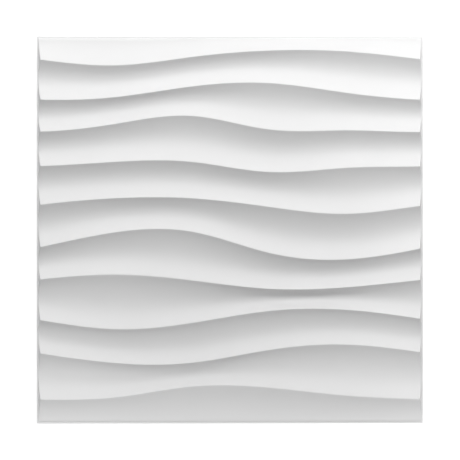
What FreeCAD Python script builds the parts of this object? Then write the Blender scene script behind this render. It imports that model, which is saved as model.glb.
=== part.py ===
"""A square 3-D wall panel, formed from one thin sheet of rigid vinyl.

Wavy ridges run from side to side with hollow scallops between them. The sheet is as
hollow behind as it is raised in front, and ends in a narrow flat flange all round.
The panel lies on its back: +X is its right edge, +Y its top edge, +Z its front.
"""
import FreeCAD, Part
import Sketcher

import os

# Driving sizes in millimetres and degrees, each with what it sets
SIZES = (
    ("panel_width", 500.0, "side to side, over the flange"),
    ("panel_height", 500.0, "top to bottom, over the flange"),
    ("sheet_thickness", 1.0, "sheet, measured square to the back"),
    ("ridge_rise", 10.5, "from a valley floor up to a ridge line"),
    ("valley_lift", 0.5, "underside of a valley floor above the back plane"),
    ("ridge_softness", 0.035, "share of each slope that rounds the ridge line"),
    ("flange_width", 2.0, "flat rim outside the end walls"),
    ("wall_draft", 12.0, "lean of the end walls, in degrees"),
    ("wall_thickness", 1.0, "end wall, measured level"),
)

# Each ridge from the top one down: how far it runs above its own level line, first at
# both side edges and then at each fifth of the width from the left
RIDGE_RISES = (
    (-4.5, -12.5, -1.5, 7.0, 6.0),
    (-6.5, -3.5, 10.5, 15.0, 2.5),
    (2.0, 12.0, 22.5, 5.0, 4.0),
    (7.5, 13.0, 13.0, 0.0, 5.5),
    (7.0, 16.0, 16.0, 5.0, -4.0),
    (2.0, 22.0, 23.0, -4.5, -13.0),
    (11.0, 17.5, 10.0, -1.0, 1.0),
    (9.5, -3.0, 5.0, 20.5, 22.0),
    (16.5, 3.5, 3.5, 20.0, 27.0),
    (6.5, 9.0, 23.0, 21.5, 11.0),
)

# Narrow strips laid side by side along the ridges make up each curved section
SCALLOP_STRIPS = 10
NOSE_STRIPS = 2


def rise_name(ridge, station):
    """Name the cell of one ridge's rise at one station across the width."""
    if station == 0:
        return f"ridge_{ridge + 1}_edge"
    return f"ridge_{ridge + 1}_fifth_{station}"


def make_sheet(document):
    """Write every driving size into the document's spreadsheet."""
    rows = list(SIZES)
    for ridge, rises in enumerate(RIDGE_RISES):
        for station, rise in enumerate(rises):
            rows.append((rise_name(ridge, station), rise, "ridge above its level line"))
    sheet = document.addObject("Spreadsheet::Sheet", "sizes")
    for row, (name, value, note) in enumerate(rows, start=1):
        sheet.set(f"A{row}", name)
        sheet.set(f"B{row}", str(value))
        sheet.set(f"C{row}", note)
        sheet.setAlias(f"B{row}", name)
    document.recompute()
    return sheet


def ridge_line(sheet, ridge):
    """Draw one ridge line in plan, from the left edge to the right edge.

    The line is drawn over the panel and the next one on either side, and cut to the
    panel, so that it carries on smoothly where panels meet.
    """
    count = len(RIDGE_RISES[ridge])
    rises = [getattr(sheet, rise_name(ridge, station)) for station in range(count)]
    step = sheet.panel_width / count
    pitch = sheet.panel_height / len(RIDGE_RISES)
    level = sheet.panel_height / 2 - pitch * (ridge + 0.5)
    points = []
    for station in range(-count, 2 * count + 1):
        x = station * step - sheet.panel_width / 2
        points.append(FreeCAD.Vector(x, level + rises[station % count], 0))
    line = Part.BSplineCurve()
    line.interpolate(Points=points, Parameters=[point.x for point in points])
    line.segment(-sheet.panel_width / 2, sheet.panel_width / 2)
    return line


def mirrored(line, y):
    """Give a line's reflection in the level line at y."""
    image = line.copy()
    for number, pole in enumerate(line.getPoles(), start=1):
        image.setPole(number, FreeCAD.Vector(pole.x, 2 * y - pole.y, 0))
    return image


def raised(line, height):
    """Give a line's poles, all at one height."""
    return [FreeCAD.Vector(pole.x, pole.y, height) for pole in line.getPoles()]


def between(first_row, last_row, share):
    """Give the poles that lie a share of the way from one row of poles to another."""
    return [first + (last - first) * share for first, last in zip(first_row, last_row)]


def strips(first, meet, last, count, like):
    """Lay strips side by side over the parabola that starts and ends on two rows of poles.

    The middle row is where the parabola's end tangents meet. Each strip is straight
    across, and curved along like the ridge lines.
    """
    rows = []
    for number in range(count + 1):
        share = number / count
        rows.append(between(between(first, meet, share), between(meet, last, share), share))
    faces = []
    for near, far in zip(rows, rows[1:]):
        surface = Part.BSplineSurface()
        surface.buildFromPolesMultsKnots(
            [near, far], [2, 2], like.getMultiplicities(), [0, 1], like.getKnots(),
            False, False, 1, like.Degree,
        )
        faces.append(surface.toShape())
    return faces


def wave_faces(sheet, lowered):
    """Make the scallops and the rounded ridges of the sheet's front, lowered by a distance.

    Two neighbouring ridges send down straight tangents that meet halfway between them,
    and the scallop is the parabola that both tangents touch. The top and bottom edges
    each halve a scallop, so they mirror the ridge beside them.
    """
    soft = sheet.ridge_softness
    floor = sheet.valley_lift + sheet.sheet_thickness - lowered
    crest = floor + sheet.ridge_rise * (1 + soft)
    sunk = floor - sheet.ridge_rise * (1 - soft)
    ridges = [ridge_line(sheet, ridge) for ridge in range(len(RIDGE_RISES))]
    above = mirrored(ridges[0], sheet.panel_height / 2)
    below = mirrored(ridges[-1], -sheet.panel_height / 2)
    lines = [above, *ridges, below]

    faces = []
    slope_ends = []
    for upper, lower in zip(lines, lines[1:]):
        meet = between(raised(upper, sunk), raised(lower, sunk), 0.5)
        start = between(raised(upper, crest), meet, soft)
        end = between(raised(lower, crest), meet, soft)
        faces += strips(start, meet, end, SCALLOP_STRIPS, upper)
        slope_ends.append((start, end))
    for ridge, before, after in zip(ridges, slope_ends, slope_ends[1:]):
        faces += strips(before[1], raised(ridge, crest), after[0], NOSE_STRIPS, ridge)
    return faces


def wave_slab(sheet, lowered):
    """Make a thick wavy slab that reaches from the sheet's face to below the back plane."""
    front = Part.Shell(wave_faces(sheet, lowered))
    front.sewShape()
    down = FreeCAD.Vector(0, 0, -2 * sheet.ridge_rise)
    sides = [edge.extrude(down) for edge in front.getFreeEdges().Edges]
    back = front.translated(down)
    skin = Part.Shell(front.Faces + sides + back.Faces)
    skin.sewShape()
    slab = Part.Solid(skin)
    if slab.Volume < 0:
        slab.reverse()
    return slab


def cell(name):
    """Write the expression that reads one cell of the spreadsheet."""
    return f"<<sizes>>.{name}"


def drafted_form(document, sheet, name, inset):
    """Make the block that the end walls lean in around.

    Its foot lies on the back plane, inside the panel's edge by the given expression, and
    its walls lean in by the draft.
    """
    body = document.addObject("PartDesign::Body", name)
    sketch = body.newObject("Sketcher::SketchObject", f"{name}_foot")
    plane = next(item for item in body.Origin.OriginFeatures if item.Role == "XY_Plane")
    sketch.AttachmentSupport = (plane, [""])
    sketch.MapMode = "FlatFace"
    half_width = sheet.panel_width / 2
    half_height = sheet.panel_height / 2
    corners = [
        FreeCAD.Vector(-half_width, -half_height, 0),
        FreeCAD.Vector(half_width, -half_height, 0),
        FreeCAD.Vector(half_width, half_height, 0),
        FreeCAD.Vector(-half_width, half_height, 0),
    ]
    for start, end in zip(corners, corners[1:] + corners[:1]):
        sketch.addGeometry(Part.LineSegment(start, end), False)
    for side in range(4):
        sketch.addConstraint(Sketcher.Constraint("Coincident", side, 2, (side + 1) % 4, 1))
    sketch.addConstraint(Sketcher.Constraint("Horizontal", 0))
    sketch.addConstraint(Sketcher.Constraint("Vertical", 1))
    sketch.addConstraint(Sketcher.Constraint("Horizontal", 2))
    sketch.addConstraint(Sketcher.Constraint("Vertical", 3))
    sketch.addConstraint(Sketcher.Constraint("Symmetric", 0, 1, 2, 1, -1, 1))
    for side, size in ((0, "panel_width"), (1, "panel_height")):
        length = sketch.addConstraint(Sketcher.Constraint("Distance", side, getattr(sheet, size)))
        sketch.setExpression(f"Constraints[{length}]", f"{cell(size)} - 2 * ({inset})")
    pad = body.newObject("PartDesign::Pad", f"{name}_walls")
    pad.Profile = sketch
    pad.setExpression("Length", f"2 * {cell('ridge_rise')}")
    pad.setExpression("TaperAngle", f"-{cell('wall_draft')}")
    return body


def joined(document, kind, name, base, tool):
    """Combine two objects with a boolean feature."""
    feature = document.addObject(kind, name)
    feature.Base = base
    feature.Tool = tool
    return feature


def wave_form(document, sheet, name, lowered):
    """Add the wavy slab under one face of the sheet."""
    form = document.addObject("Part::Feature", name)
    form.Shape = wave_slab(sheet, lowered)
    return form


def rim_plate(document):
    """Make the flat plate that the flange is left from."""
    plate = document.addObject("Part::Box", "rim_plate")
    plate.setExpression("Length", cell("panel_width"))
    plate.setExpression("Width", cell("panel_height"))
    plate.setExpression("Height", cell("sheet_thickness"))
    plate.setExpression("Placement.Base.x", f"-{cell('panel_width')} / 2")
    plate.setExpression("Placement.Base.y", f"-{cell('panel_height')} / 2")
    return plate


def wave_panel(document, sheet):
    """Build the panel: a raised wavy front on a flange, hollowed from behind."""
    outside = drafted_form(document, sheet, "outer_form", cell("flange_width"))
    front = wave_form(document, sheet, "front_wave", 0)
    raised_part = joined(document, "Part::Common", "raised_front", outside, front)
    blank = joined(document, "Part::Fuse", "blank", raised_part, rim_plate(document))
    inset = f"{cell('flange_width')} + {cell('wall_thickness')}"
    inside = drafted_form(document, sheet, "inner_form", inset)
    back = wave_form(document, sheet, "back_wave", sheet.sheet_thickness)
    hollow = joined(document, "Part::Common", "hollow", inside, back)
    return joined(document, "Part::Cut", "wave_panel", blank, hollow)


def check(document, parts):
    """Stop if any object failed, or a part is empty or unsound."""
    for item in document.Objects:
        if "Invalid" in item.State or "Error" in item.State:
            raise RuntimeError(f"{item.Label} failed: {item.State}")
    for part in parts:
        if part.Shape.isNull() or not part.Shape.isValid():
            raise RuntimeError(f"{part.Label} has no sound shape")


def main():
    """Build the panel and write its solid."""
    document = FreeCAD.newDocument("wave_panel")
    sheet = make_sheet(document)
    panel = wave_panel(document, sheet)
    document.recompute()
    check(document, [panel])
    os.makedirs("parts", exist_ok=True)
    panel.Shape.exportStep(f"parts/{panel.Label}.step")
    box = panel.Shape.optimalBoundingBox()
    print(f"{panel.Label}: {len(panel.Shape.Solids)} solid, {panel.Shape.Volume / 1000:.1f} cm3")
    print(f"box {box.XLength:.2f} x {box.YLength:.2f} x {box.ZLength:.2f} mm, foot at {box.ZMin:.3f}")


main()
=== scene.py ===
"""The looks of a square 3-D wall panel: one sheet of matte white vinyl, vacuum formed.

The panel lies on its back, as it is stored, and the camera looks straight down on it.
Sizes are in millimetres until a mesh is written, and then in metres.
"""
import logging
import math
from dataclasses import dataclass
from enum import Enum

import bpy
import numpy as np
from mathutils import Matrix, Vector


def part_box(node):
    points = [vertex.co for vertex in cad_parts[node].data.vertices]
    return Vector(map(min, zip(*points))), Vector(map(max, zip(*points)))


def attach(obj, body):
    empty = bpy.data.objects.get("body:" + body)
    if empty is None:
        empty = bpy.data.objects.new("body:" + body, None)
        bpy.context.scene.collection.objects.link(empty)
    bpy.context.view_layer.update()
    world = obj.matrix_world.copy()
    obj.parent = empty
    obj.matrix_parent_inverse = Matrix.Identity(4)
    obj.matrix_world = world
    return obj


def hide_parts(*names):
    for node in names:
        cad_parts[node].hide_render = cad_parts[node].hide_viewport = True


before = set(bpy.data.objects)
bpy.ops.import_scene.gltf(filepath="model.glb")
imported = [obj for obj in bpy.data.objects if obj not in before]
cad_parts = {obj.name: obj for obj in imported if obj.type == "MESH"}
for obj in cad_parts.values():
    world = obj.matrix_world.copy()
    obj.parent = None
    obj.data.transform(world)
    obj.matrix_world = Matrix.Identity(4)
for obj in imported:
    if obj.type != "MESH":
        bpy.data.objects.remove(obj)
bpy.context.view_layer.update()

MM = 0.001
log = logging.getLogger("wave_panel")


class Side(Enum):
    """The two faces of the formed sheet."""

    FRONT = "front"
    BACK = "back"


def linear(code: str) -> tuple[float, float, float, float]:
    """Turn an sRGB hex value into the linear colour that a socket takes.

    Args:
        code: Six hex digits after a hash, such as "#F2F2F0".

    Returns:
        Linear red, green and blue, and an alpha of 1.
    """
    channels = [int(code[start:start + 2], 16) / 255 for start in (1, 3, 5)]
    parts = [c / 12.92 if c <= 0.04045 else ((c + 0.055) / 1.055) ** 2.4 for c in channels]
    return (*parts, 1.0)


def add_node(tree: bpy.types.NodeTree, kind: str, settings: dict, links: dict) -> bpy.types.Node:
    """Add one node to a tree, with its settings and the links into it.

    Args:
        tree: The node tree to add to.
        kind: The node's type, such as "ShaderNodeTexNoise".
        settings: Values by name: an input socket's where there is one, else a property's.
        links: Output sockets by the name or number of the input that each one feeds.

    Returns:
        The new node.
    """
    node = tree.nodes.new(kind)
    for name, value in settings.items():
        if name in node.inputs:
            node.inputs[name].default_value = value
        else:
            setattr(node, name, value)
    for name, output in links.items():
        tree.links.new(output, node.inputs[name])
    return node


def new_material(name: str) -> tuple[bpy.types.Material, bpy.types.NodeTree]:
    """Make an empty material.

    Args:
        name: What the real material is, and how it was made.

    Returns:
        The material and its node tree.
    """
    material = bpy.data.materials.new(name)
    material.use_nodes = True
    material.node_tree.nodes.clear()
    return material, material.node_tree


def seen_directly(tree: bpy.types.NodeTree) -> bpy.types.NodeSocket:
    """Find which rays show a backdrop as the camera sees it.

    Args:
        tree: The backdrop's node tree.

    Returns:
        A socket that gives 1 to camera, glossy and transmission rays, and 0 to the rest.
    """
    path = add_node(tree, "ShaderNodeLightPath", {}, {})
    seen = path.outputs["Is Camera Ray"]
    for kind in ("Is Glossy Ray", "Is Transmission Ray"):
        links = {0: seen, 1: path.outputs[kind]}
        seen = add_node(tree, "ShaderNodeMath", {"operation": "MAXIMUM"}, links).outputs["Value"]
    return seen


@dataclass(frozen=True)
class FormedVinyl:
    """Rigid PVC sheet with a matt calendered face, drawn over a mould.

    The face scatters light softly with a faint broad sheen. The sheet is filled right
    through with white pigment, a shade uneven over a hand's breadth. Its grain is a fifth
    of a millimetre, too fine to show, so it is drawn at 0.9 mm and kept shallow.
    """

    colour: str = "#EEEEEE"
    shade: str = "#EAEAEA"
    roughness: float = 0.52
    ior: float = 1.53
    grain: float = 0.9
    grain_depth: float = 0.012
    cloud: float = 70.0

    def build(self) -> bpy.types.Material:
        """Make the material.

        Returns:
            The sheet's material.
        """
        material, tree = new_material("matt_white_formed_vinyl")
        place = add_node(tree, "ShaderNodeTexCoord", {}, {}).outputs["Object"]
        clouds = add_node(
            tree,
            "ShaderNodeTexNoise",
            {"Scale": 1 / (self.cloud * MM), "Detail": 2.0, "Roughness": 0.5},
            {"Vector": place},
        )
        tint = add_node(tree, "ShaderNodeValToRGB", {}, {"Fac": clouds.outputs["Fac"]})
        tint.color_ramp.elements[0].color = linear(self.shade)
        tint.color_ramp.elements[1].color = linear(self.colour)
        grain = add_node(
            tree,
            "ShaderNodeTexNoise",
            {"Scale": 1 / (self.grain * MM), "Detail": 3.0, "Roughness": 0.6},
            {"Vector": place},
        )
        bump = add_node(
            tree,
            "ShaderNodeBump",
            {"Strength": 1.0, "Distance": self.grain_depth * MM},
            {"Height": grain.outputs["Fac"]},
        )
        shader = add_node(
            tree,
            "ShaderNodeBsdfPrincipled",
            {"Roughness": self.roughness, "IOR": self.ior},
            {"Base Color": tint.outputs["Color"], "Normal": bump.outputs["Normal"]},
        )
        add_node(tree, "ShaderNodeOutputMaterial", {}, {"Surface": shader.outputs["BSDF"]})
        return material


@dataclass(frozen=True)
class StudioFloor:
    """Matt pale grey studio floor, lit to photograph as white, that still takes a shadow.

    The lift is a glow that only the camera sees, directly or through a gloss or a glass.
    """

    colour: str = "#A6A6A6"
    lift: float = 0.86

    def build(self) -> bpy.types.Material:
        """Make the material.

        Returns:
            The floor's material.
        """
        material, tree = new_material("matt_pale_studio_floor")
        paint = add_node(tree, "ShaderNodeBsdfDiffuse", {"Color": linear(self.colour)}, {})
        level = add_node(
            tree,
            "ShaderNodeMath",
            {"operation": "MULTIPLY"},
            {0: seen_directly(tree)},
        )
        level.inputs[1].default_value = self.lift
        glow = add_node(tree, "ShaderNodeEmission", {}, {"Strength": level.outputs["Value"]})
        links = {0: paint.outputs["BSDF"], 1: glow.outputs["Emission"]}
        both = add_node(tree, "ShaderNodeAddShader", {}, links)
        add_node(tree, "ShaderNodeOutputMaterial", {}, {"Surface": both.outputs["Shader"]})
        return material


@dataclass(frozen=True)
class Relief:
    """The waves of the mould: ridge lines from side to side, scallops between them.

    ridge_rises has a row for each ridge from the top one down. It says how far the ridge
    runs above its own level line, at both side edges and then at each fifth of the width.
    """

    width: float
    height: float
    rise: float
    valley_lift: float = 0.5
    thickness: float = 1.0
    softness: float = 0.035
    scallop_rows: int = 20
    nose_rows: int = 6
    ridge_rises: tuple[tuple[float, ...], ...] = (
        (-4.5, -12.5, -1.5, 7.0, 6.0),
        (-6.5, -3.5, 10.5, 15.0, 2.5),
        (2.0, 12.0, 22.5, 5.0, 4.0),
        (7.5, 13.0, 13.0, 0.0, 5.5),
        (7.0, 16.0, 16.0, 5.0, -4.0),
        (2.0, 22.0, 23.0, -4.5, -13.0),
        (11.0, 17.5, 10.0, -1.0, 1.0),
        (9.5, -3.0, 5.0, 20.5, 22.0),
        (16.5, 3.5, 3.5, 20.0, 27.0),
        (6.5, 9.0, 23.0, 21.5, 11.0),
    )

    def floor(self, side: Side) -> float:
        """Give the height of the valley floors on one side of the sheet."""
        return self.valley_lift + (self.thickness if side is Side.FRONT else 0.0)

    def ridge_line(self, ridge: int, x: np.ndarray) -> np.ndarray:
        """Follow one ridge line.

        The line is the smooth cubic through the ridge's stations that repeats from
        panel to panel.

        Args:
            ridge: The ridge's number, from 0 at the top.
            x: Places from side to side.

        Returns:
            The ridge line's y at each place.
        """
        rises = np.array(self.ridge_rises[ridge])
        count = len(rises)
        step = self.width / count
        turn = np.eye(count) * 4 + np.roll(np.eye(count), 1, 0) + np.roll(np.eye(count), -1, 0)
        change = np.roll(rises, 1) - 2 * rises + np.roll(rises, -1)
        bend = np.linalg.solve(turn, 6 * change)
        along = (x + self.width / 2) / step
        left = np.floor(along).astype(int)
        share = along - left
        near, far = left % count, (left + 1) % count
        line = rises[near] * (1 - share) + rises[far] * share
        line += ((1 - share) ** 3 - (1 - share)) * bend[near] / 6
        line += (share ** 3 - share) * bend[far] / 6
        pitch = self.height / len(self.ridge_rises)
        return self.height / 2 - pitch * (ridge + 0.5) + line

    def rows(self, side: Side, x: np.ndarray, cut: float) -> tuple[np.ndarray, np.ndarray]:
        """Trace the relief's section at each x, from the bottom edge to the top one.

        Each scallop is a parabola. A ridge is rounded between its two scallops' ends by
        the parabola whose tangents meet on the ridge line.

        Args:
            side: The side of the sheet.
            x: Places from side to side.
            cut: How far from the middle the section starts and stops.

        Returns:
            Two arrays with a row for each step of the section and a column for each x:
            the steps' y and their z.
        """
        floor = self.floor(side)
        edge = floor + self.rise * (1 - self.softness)
        pole = floor + self.rise * (1 + self.softness)
        ridges = [self.ridge_line(ridge, x) for ridge in range(len(self.ridge_rises))][::-1]
        below = -self.height - ridges[0]
        above = self.height - ridges[-1]
        lines = [below, *ridges, above]
        last = len(ridges)
        ys, zs = [], []
        for number, (lower, upper) in enumerate(zip(lines, lines[1:])):
            half = (upper - lower) / 2 * (1 - self.softness)
            middle = (upper + lower) / 2
            start, end, count = middle - half, middle + half, self.scallop_rows
            # The lowest and the highest scallop are halves, cut off beside the end walls
            if number == 0:
                start, count = np.full_like(x, -cut), self.scallop_rows // 2
            if number == last:
                end, count = np.full_like(x, cut), self.scallop_rows // 2
            for share in np.linspace(0, 1, count + 1):
                y = start + (end - start) * share
                ys.append(y)
                zs.append(floor + (edge - floor) * ((y - middle) / half) ** 2)
            if number == last:
                break
            onward = (lines[number + 2] + upper) / 2
            off = upper + (onward - upper) * self.softness
            for share in np.linspace(0, 1, self.nose_rows + 1)[1:-1]:
                near, mid, far = arc_shares(share)
                ys.append(near * end + mid * upper + far * off)
                zs.append(np.full_like(x, (near + far) * edge + mid * pole))
        return np.array(ys), np.array(zs)


def arc_shares(share: float | np.ndarray) -> tuple[float | np.ndarray, ...]:
    """Weigh the three poles of a rounded corner.

    Args:
        share: How far along the corner, from 0 to 1.

    Returns:
        The weights of the corner's start, of its sharp point and of its end.
    """
    return (1 - share) ** 2, 2 * share * (1 - share), share ** 2


@dataclass
class WavePanel:
    """The formed sheet: relief, leaning end walls, and a flat flange all round."""

    relief: Relief
    finish: FormedVinyl
    flange_width: float = 2.0
    wall_draft: float = 12.0
    wall_thickness: float = 1.0
    lip_radius: float = 0.5
    foot_radius: float = 0.4
    most_rounded: float = 0.4
    arc_steps: int = 4
    wall_steps: int = 2
    columns: int = 80
    sharp_angle: float = 40.0

    def wall_path(self, side: Side, half: float, top: float) -> tuple[np.ndarray, np.ndarray]:
        """Trace an end wall's section, from the panel's edge in to the relief.

        Args:
            side: The side of the sheet.
            half: From the middle of the panel to its edge.
            top: The height of the relief that the wall comes up to.

        Returns:
            How far each step is from the middle, and its height.
        """
        lean = math.tan(math.radians(self.wall_draft))
        inset = self.flange_width + (0.0 if side is Side.FRONT else self.wall_thickness)
        base = self.relief.thickness if side is Side.FRONT else 0.0
        foot = np.array((half - inset - base * lean, base))
        head = np.array((half - inset - top * lean, top))
        length = np.linalg.norm(head - foot)
        up = (head - foot) / length
        inward = np.array((-1.0, 0.0))
        near, mid, far = arc_shares(np.linspace(0, 1, self.arc_steps + 1)[:, None])
        turn = min(self.foot_radius, length * self.most_rounded)
        foot_arc = near * (foot - inward * turn) + mid * foot + far * (foot + up * turn)
        bend = min(self.lip_radius, length * self.most_rounded)
        lip_arc = near * (head - up * bend) + mid * head + far * (head + inward * bend)
        rise = np.linspace(0, 1, self.wall_steps + 1)[1:-1, None]
        wall = foot_arc[-1] + (lip_arc[0] - foot_arc[-1]) * rise
        path = np.vstack(((half, base), foot_arc, wall, lip_arc))
        return path[:, 0], path[:, 1]

    @staticmethod
    def edge_row(beside: np.ndarray, y: float, z: float) -> np.ndarray:
        """Lay one row of an end wall or the flange along the row of the relief beside it.

        Args:
            beside: The outermost row of the relief.
            y: Where the new row runs.
            z: Its height, where the side walls don't come lower.

        Returns:
            The new row's points.
        """
        row = beside.copy()
        row[:, 1] = y
        row[:, 2] = np.minimum(row[:, 2], z)
        return row

    def skin_points(self, side: Side) -> np.ndarray:
        """Work out one side of the sheet as a net of points.

        Args:
            side: The side of the sheet.

        Returns:
            Rows from the bottom edge up, columns from left to right, and x, y and z.
        """
        relief = self.relief
        half_width, half_height = relief.width / 2, relief.height / 2
        path_y, path_z = self.wall_path(side, half_height, relief.floor(side))
        cut = path_y[-1]
        side_edges = np.array((-half_width, half_width))
        tops = relief.rows(side, side_edges, cut)[1].max(axis=1)
        inner = np.linspace(-1, 1, self.columns + 1)[1:-1]
        net = []
        # In each row the side walls come up to the relief's own height there
        for row, top in enumerate(tops):
            out, height = self.wall_path(side, half_width, top)
            x = np.concatenate((-out, inner * out[-1], out[::-1]))
            y, z = relief.rows(side, x, cut)
            y, z = y[row], z[row]
            ends = len(out)
            z[:ends] = height
            z[-ends:] = height[::-1]
            net.append(np.stack((x, y, z), axis=1))
        outer = list(zip(path_y[:-1], path_z[:-1]))
        low = [self.edge_row(net[0], -y, z) for y, z in outer]
        high = [self.edge_row(net[-1], y, z) for y, z in reversed(outer)]
        return np.array(low + net + high)

    def skin(self, side: Side) -> bpy.types.Object:
        """Make one side of the sheet from a grid, facing out of the sheet.

        Args:
            side: The side of the sheet.

        Returns:
            The open skin as an object.
        """
        points = self.skin_points(side)
        rows, columns = points.shape[:2]
        bpy.ops.object.select_all(action="DESELECT")
        bpy.ops.mesh.primitive_grid_add(x_subdivisions=columns - 1, y_subdivisions=rows - 1, size=1)
        skin = bpy.context.object
        skin.data.vertices.foreach_set("co", (points * MM).astype(np.float32).ravel())
        skin.data.update()
        if side is Side.BACK:
            bpy.ops.object.mode_set(mode="EDIT")
            bpy.ops.mesh.select_all(action="SELECT")
            bpy.ops.mesh.flip_normals()
            bpy.ops.object.mode_set(mode="OBJECT")
        return skin

    def build(self) -> bpy.types.Object:
        """Join the two skins along the flange's cut edge, and dress the closed sheet.

        Returns:
            The finished panel.
        """
        front = self.skin(Side.FRONT)
        back = self.skin(Side.BACK)
        bpy.ops.object.select_all(action="DESELECT")
        back.select_set(True)
        front.select_set(True)
        bpy.context.view_layer.objects.active = front
        bpy.ops.object.join()
        bpy.ops.object.mode_set(mode="EDIT")
        bpy.ops.mesh.select_mode(type="EDGE")
        bpy.ops.mesh.select_all(action="DESELECT")
        bpy.ops.mesh.select_non_manifold(extend=False)
        bpy.ops.mesh.bridge_edge_loops()
        bpy.ops.object.mode_set(mode="OBJECT")
        bpy.ops.object.shade_smooth_by_angle(angle=math.radians(self.sharp_angle))
        front.name = "formed_sheet"
        front.data.name = "formed_sheet"
        front.data.materials.clear()
        front.data.materials.append(self.finish.build())
        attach(front, "root")
        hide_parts("wave_panel")
        return front


@dataclass(frozen=True)
class Lamp:
    """A soft rectangular lamp that looks at the middle of the panel.

    Its place is in metres from there, and its size is its level width and its height.
    """

    name: str
    place: tuple[float, float, float]
    size: tuple[float, float]
    watts: float

    def build(self) -> bpy.types.Object:
        """Hang the lamp.

        Returns:
            The lamp, which the camera doesn't see.
        """
        light = bpy.data.lights.new(self.name, "AREA")
        light.shape = "RECTANGLE"
        light.size, light.size_y = self.size
        light.energy = self.watts
        lamp = bpy.data.objects.new(self.name, light)
        bpy.context.scene.collection.objects.link(lamp)
        lamp.location = self.place
        lamp.rotation_euler = (-Vector(self.place)).to_track_quat("-Z", "Y").to_euler()
        lamp.visible_camera = False
        return lamp


@dataclass(frozen=True)
class Studio:
    """The floor under the panel, the light on it and the camera above it.

    Most of the light comes from a long softbox above and beyond the top edge, so the
    waves are bright on the sides that face it. Slim strips near the edges fill them in.
    The studio's own sizes and places are in metres.
    """

    panel_width: float
    floor_finish: StudioFloor = StudioFloor()
    floor_size: float = 14.0
    floor_gap: float = 0.0004
    world_level: float = 0.05
    camera_place: tuple[float, float, float] = (-0.45, 0.0, 9.0)
    camera_reach: float = 100.0
    panel_pixels: float = 386.6
    frame_pixels: float = 460.0
    lamps: tuple[Lamp, ...] = (
        Lamp("softbox_beyond_top", (0.0, 0.7, 1.0), (3.0, 0.5), 18.5),
        Lamp("low_strip_beyond_top", (0.0, 1.0, 0.25), (3.0, 0.5), 2.4),
        Lamp("strip_by_top_edge", (0.0, 0.31, 0.07), (0.8, 0.06), 0.07),
        Lamp("strip_by_bottom_edge", (0.0, -0.31, 0.07), (0.8, 0.06), 0.19),
        Lamp("strip_by_right_edge", (0.36, 0.0, 0.15), (0.8, 0.1), 0.2),
        Lamp("strip_off_lower_left", (-0.34, -0.2, 0.2), (0.4, 0.1), 0.1),
    )

    def lay_floor(self) -> None:
        """Lay the floor just under the panel's back plane."""
        bpy.ops.object.select_all(action="DESELECT")
        bpy.ops.mesh.primitive_plane_add(size=self.floor_size, location=(0, 0, -self.floor_gap))
        floor = bpy.context.object
        floor.name = "studio_floor"
        floor.data.materials.append(self.floor_finish.build())

    def light_world(self) -> None:
        """Fill the room with faint even light, and show it as white."""
        world = bpy.data.worlds.new("white_room")
        world.use_nodes = True
        tree = world.node_tree
        tree.nodes.clear()
        level = add_node(
            tree,
            "ShaderNodeMapRange",
            {"From Min": 0.0, "From Max": 1.0, "To Min": self.world_level, "To Max": 1.0},
            {"Value": seen_directly(tree)},
        )
        sky = add_node(
            tree,
            "ShaderNodeBackground",
            {"Color": linear("#FFFFFF")},
            {"Strength": level.outputs["Result"]},
        )
        add_node(tree, "ShaderNodeOutputWorld", {}, {"Surface": sky.outputs["Background"]})
        bpy.context.scene.world = world

    def place_camera(self) -> None:
        """Hang a long-lens camera over the panel, with the panel as wide as in the photo."""
        camera = bpy.data.cameras.new("overhead_camera")
        place = Vector(self.camera_place)
        view_width = self.panel_width * MM * self.frame_pixels / self.panel_pixels
        camera.lens = camera.sensor_width * place.length / view_width
        camera.clip_end = self.camera_reach
        holder = bpy.data.objects.new("overhead_camera", camera)
        bpy.context.scene.collection.objects.link(holder)
        holder.location = place
        lean_up = math.asin(-place.y / place.length)
        holder.rotation_euler = (lean_up, math.atan2(place.x, place.z), 0.0)
        bpy.context.scene.camera = holder

    def build(self) -> None:
        """Set up the whole studio."""
        self.place_camera()
        self.lay_floor()
        self.light_world()
        for lamp in self.lamps:
            lamp.build()
        bpy.context.scene.view_settings.view_transform = "Standard"


def make_panel() -> WavePanel:
    """Size the panel from its CAD node.

    Returns:
        The panel, not yet built.
    """
    low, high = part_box("wave_panel")
    size = (high - low) / MM
    lift, thickness = Relief.valley_lift, Relief.thickness
    relief = Relief(width=size.x, height=size.y, rise=size.z - lift - thickness)
    return WavePanel(relief, FormedVinyl())


def main() -> None:
    """Build the studio and the panel, and log how many faces the sheet has."""
    logging.basicConfig(level=logging.INFO, format="%(name)s: %(message)s")
    panel = make_panel()
    Studio(panel.relief.width).build()
    log.info("studio is set")
    sheet = panel.build()
    log.info("%s has %d faces", sheet.name, len(sheet.data.polygons))


if __name__ == "__main__":
    main()
